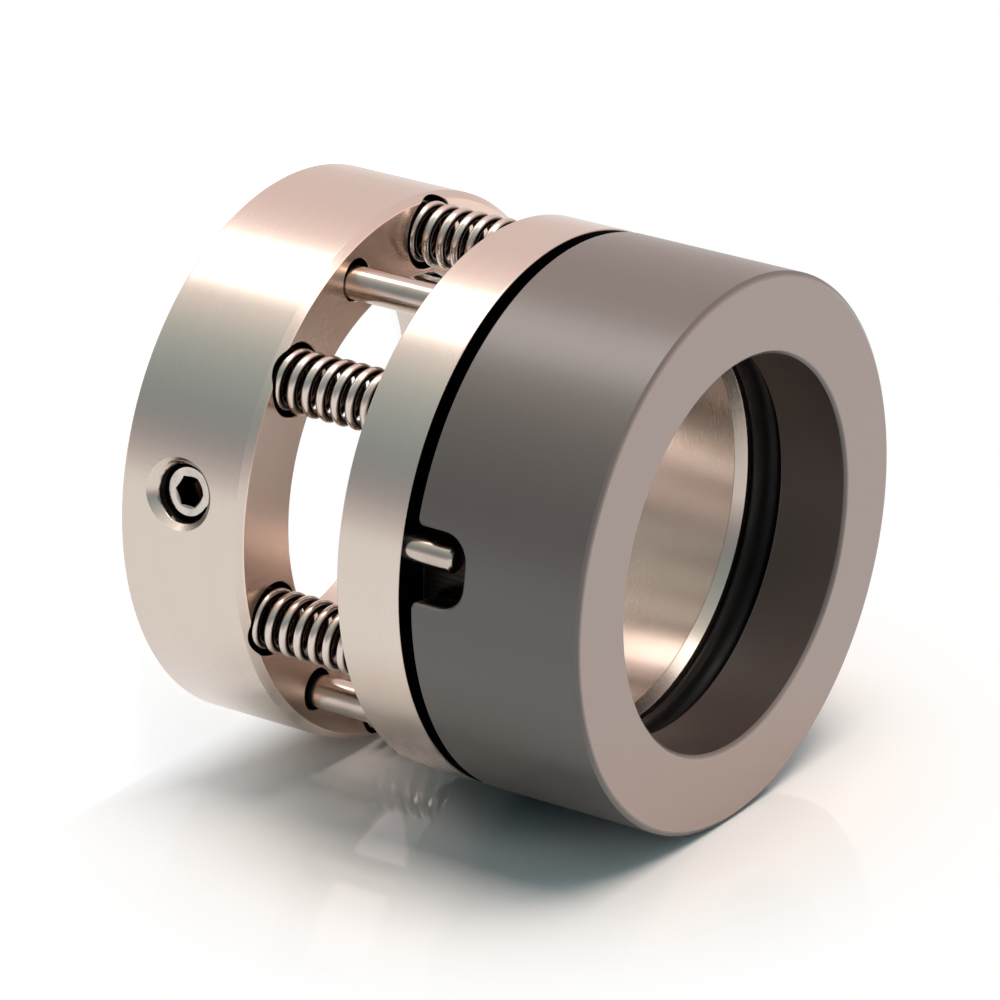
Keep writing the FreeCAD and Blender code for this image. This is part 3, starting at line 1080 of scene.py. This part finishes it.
# Light
# A long soft box over the table top, where the photograph's light comes from, shines in what is glossy. A
# wide warm lamp behind it and a dim, cool fill light what is matt. The room's levels, which show in the
# metal, are set by the angle about the shaft's axis from the soft box. Sizes are in metres.
light_angle = -83.0
light_distance = 0.75
light_width = 0.31
light_length = 1.5
light_height = 0.05
light_power = 3.9
light_colour = (1.0, 0.96, 0.93)
key_size = 0.45
key_power = 5.8
key_lean = 12.0
key_colour = (1.0, 0.84, 0.75)
fill_level = 0.37
fill_colour = (0.56, 0.99, 1.10)
room_levels = [
    (-180, (0.55, 0.50, 0.48)),
    (-140, (1.10, 0.93, 0.87)),
    (-110, (1.18, 0.94, 0.85)),
    (-80, (0.90, 0.78, 0.75)),
    (-40, (0.975, 0.80, 0.79)),
    (-24, (1.15, 0.96, 0.92)),
    (16, (1.02, 0.98, 0.95)),
    (34, (0.56, 0.62, 0.60)),
    (50, (0.40, 0.48, 0.48)),
    (66, (0.33, 0.38, 0.40)),
    (78, (0.40, 0.40, 0.42)),
    (96, (0.85, 0.80, 0.77)),
    (180, (0.55, 0.50, 0.48)),
]
world = bpy.data.worlds.new("studio")
bpy.context.scene.world = world
world.use_nodes = True
sky = world.node_tree
sky.nodes.clear()
way = add_node(sky, "ShaderNodeTexCoord", {}).outputs["Generated"]
from_light = add_node(sky, "ShaderNodeVectorRotate", {"Vector": way, "Angle": math.radians(-light_angle)},
                      rotation_type="Z_AXIS")
split = parts_of(sky, from_light.outputs[0])
share = rising(sky, worked(sky, "ARCTAN2", split["Y"], split["X"]), -math.pi, math.pi)
levels = add_node(sky, "ShaderNodeValToRGB", {"Fac": share})
stops = levels.color_ramp.elements
for k, (angle, colour) in enumerate(room_levels):
    stop = stops.new((angle + 180) / 360) if 0 < k < len(room_levels) - 1 else stops[-1 if k else 0]
    stop.color = (*colour, 1)
room = add_node(sky, "ShaderNodeBackground", {"Color": levels.outputs["Color"], "Strength": 1.0})
fill = add_node(sky, "ShaderNodeBackground", {"Color": (*fill_colour, 1), "Strength": fill_level})
backdrop = add_node(sky, "ShaderNodeBackground", {"Color": white, "Strength": 1.0})
sight = add_node(sky, "ShaderNodeLightPath", {}).outputs
around = mixed(sky, sight["Is Diffuse Ray"], room.outputs[0], fill.outputs[0])
either = mixed(sky, sight["Is Camera Ray"], around, backdrop.outputs[0])
add_node(sky, "ShaderNodeOutputWorld", {"Surface": either})

soft_box = bpy.data.lights.new("soft_box", "AREA")
soft_box.shape = "RECTANGLE"
soft_box.size = light_width
soft_box.size_y = light_length
soft_box.energy = light_power
soft_box.color = light_colour
lamp = new_object("soft_box", soft_box)
hung = Matrix.Translation((light_distance, 0, light_height)) @ turn_by(90, "Y") @ turn_by(90, "Z")
lamp.matrix_world = turn_by(light_angle, "Z") @ hung
lamp.visible_camera = False
lamp.visible_diffuse = False

key_light = bpy.data.lights.new("key", "AREA")
key_light.size = key_size
key_light.energy = key_power
key_light.color = key_colour
key = new_object("key", key_light)
middle = Matrix.Translation((0, 0, (cad_box[0][2] + cad_box[1][2]) / 2))
leaning = turn_by(light_angle, "Z") @ turn_by(-key_lean, "Y")
facing_middle = Matrix.Translation((light_distance, 0, 0)) @ turn_by(90, "Y")
key.matrix_world = middle @ leaning @ facing_middle
key.visible_camera = False
key.visible_glossy = False

# Camera
# A long lens at the place that the ellipses of the rings give, in metres, with the photograph's roll: its
# right and down are directions in the frame of the head.
camera_place = Vector((0.73880, -0.22621, 0.50579))
photo_right = Vector((-0.5555, -0.0982, 0.8257))
photo_down = Vector((0.1564, 0.9629, 0.2198))
lens = bpy.data.cameras.new("camera")
lens.lens = 237.02
lens.sensor_width = 36.0
lens.clip_start = 0.05
lens.clip_end = 20.0
camera = new_object("camera", lens)
toward_eye = photo_right.cross(-photo_down).normalized()
photo_up = toward_eye.cross(photo_right).normalized()
turn_in = Matrix((photo_right.normalized(), photo_up, toward_eye)).transposed().to_4x4()
camera.matrix_world = Matrix.Translation(camera_place) @ turn_in
bpy.context.scene.camera = camera
bpy.context.scene.view_settings.view_transform = "Standard"
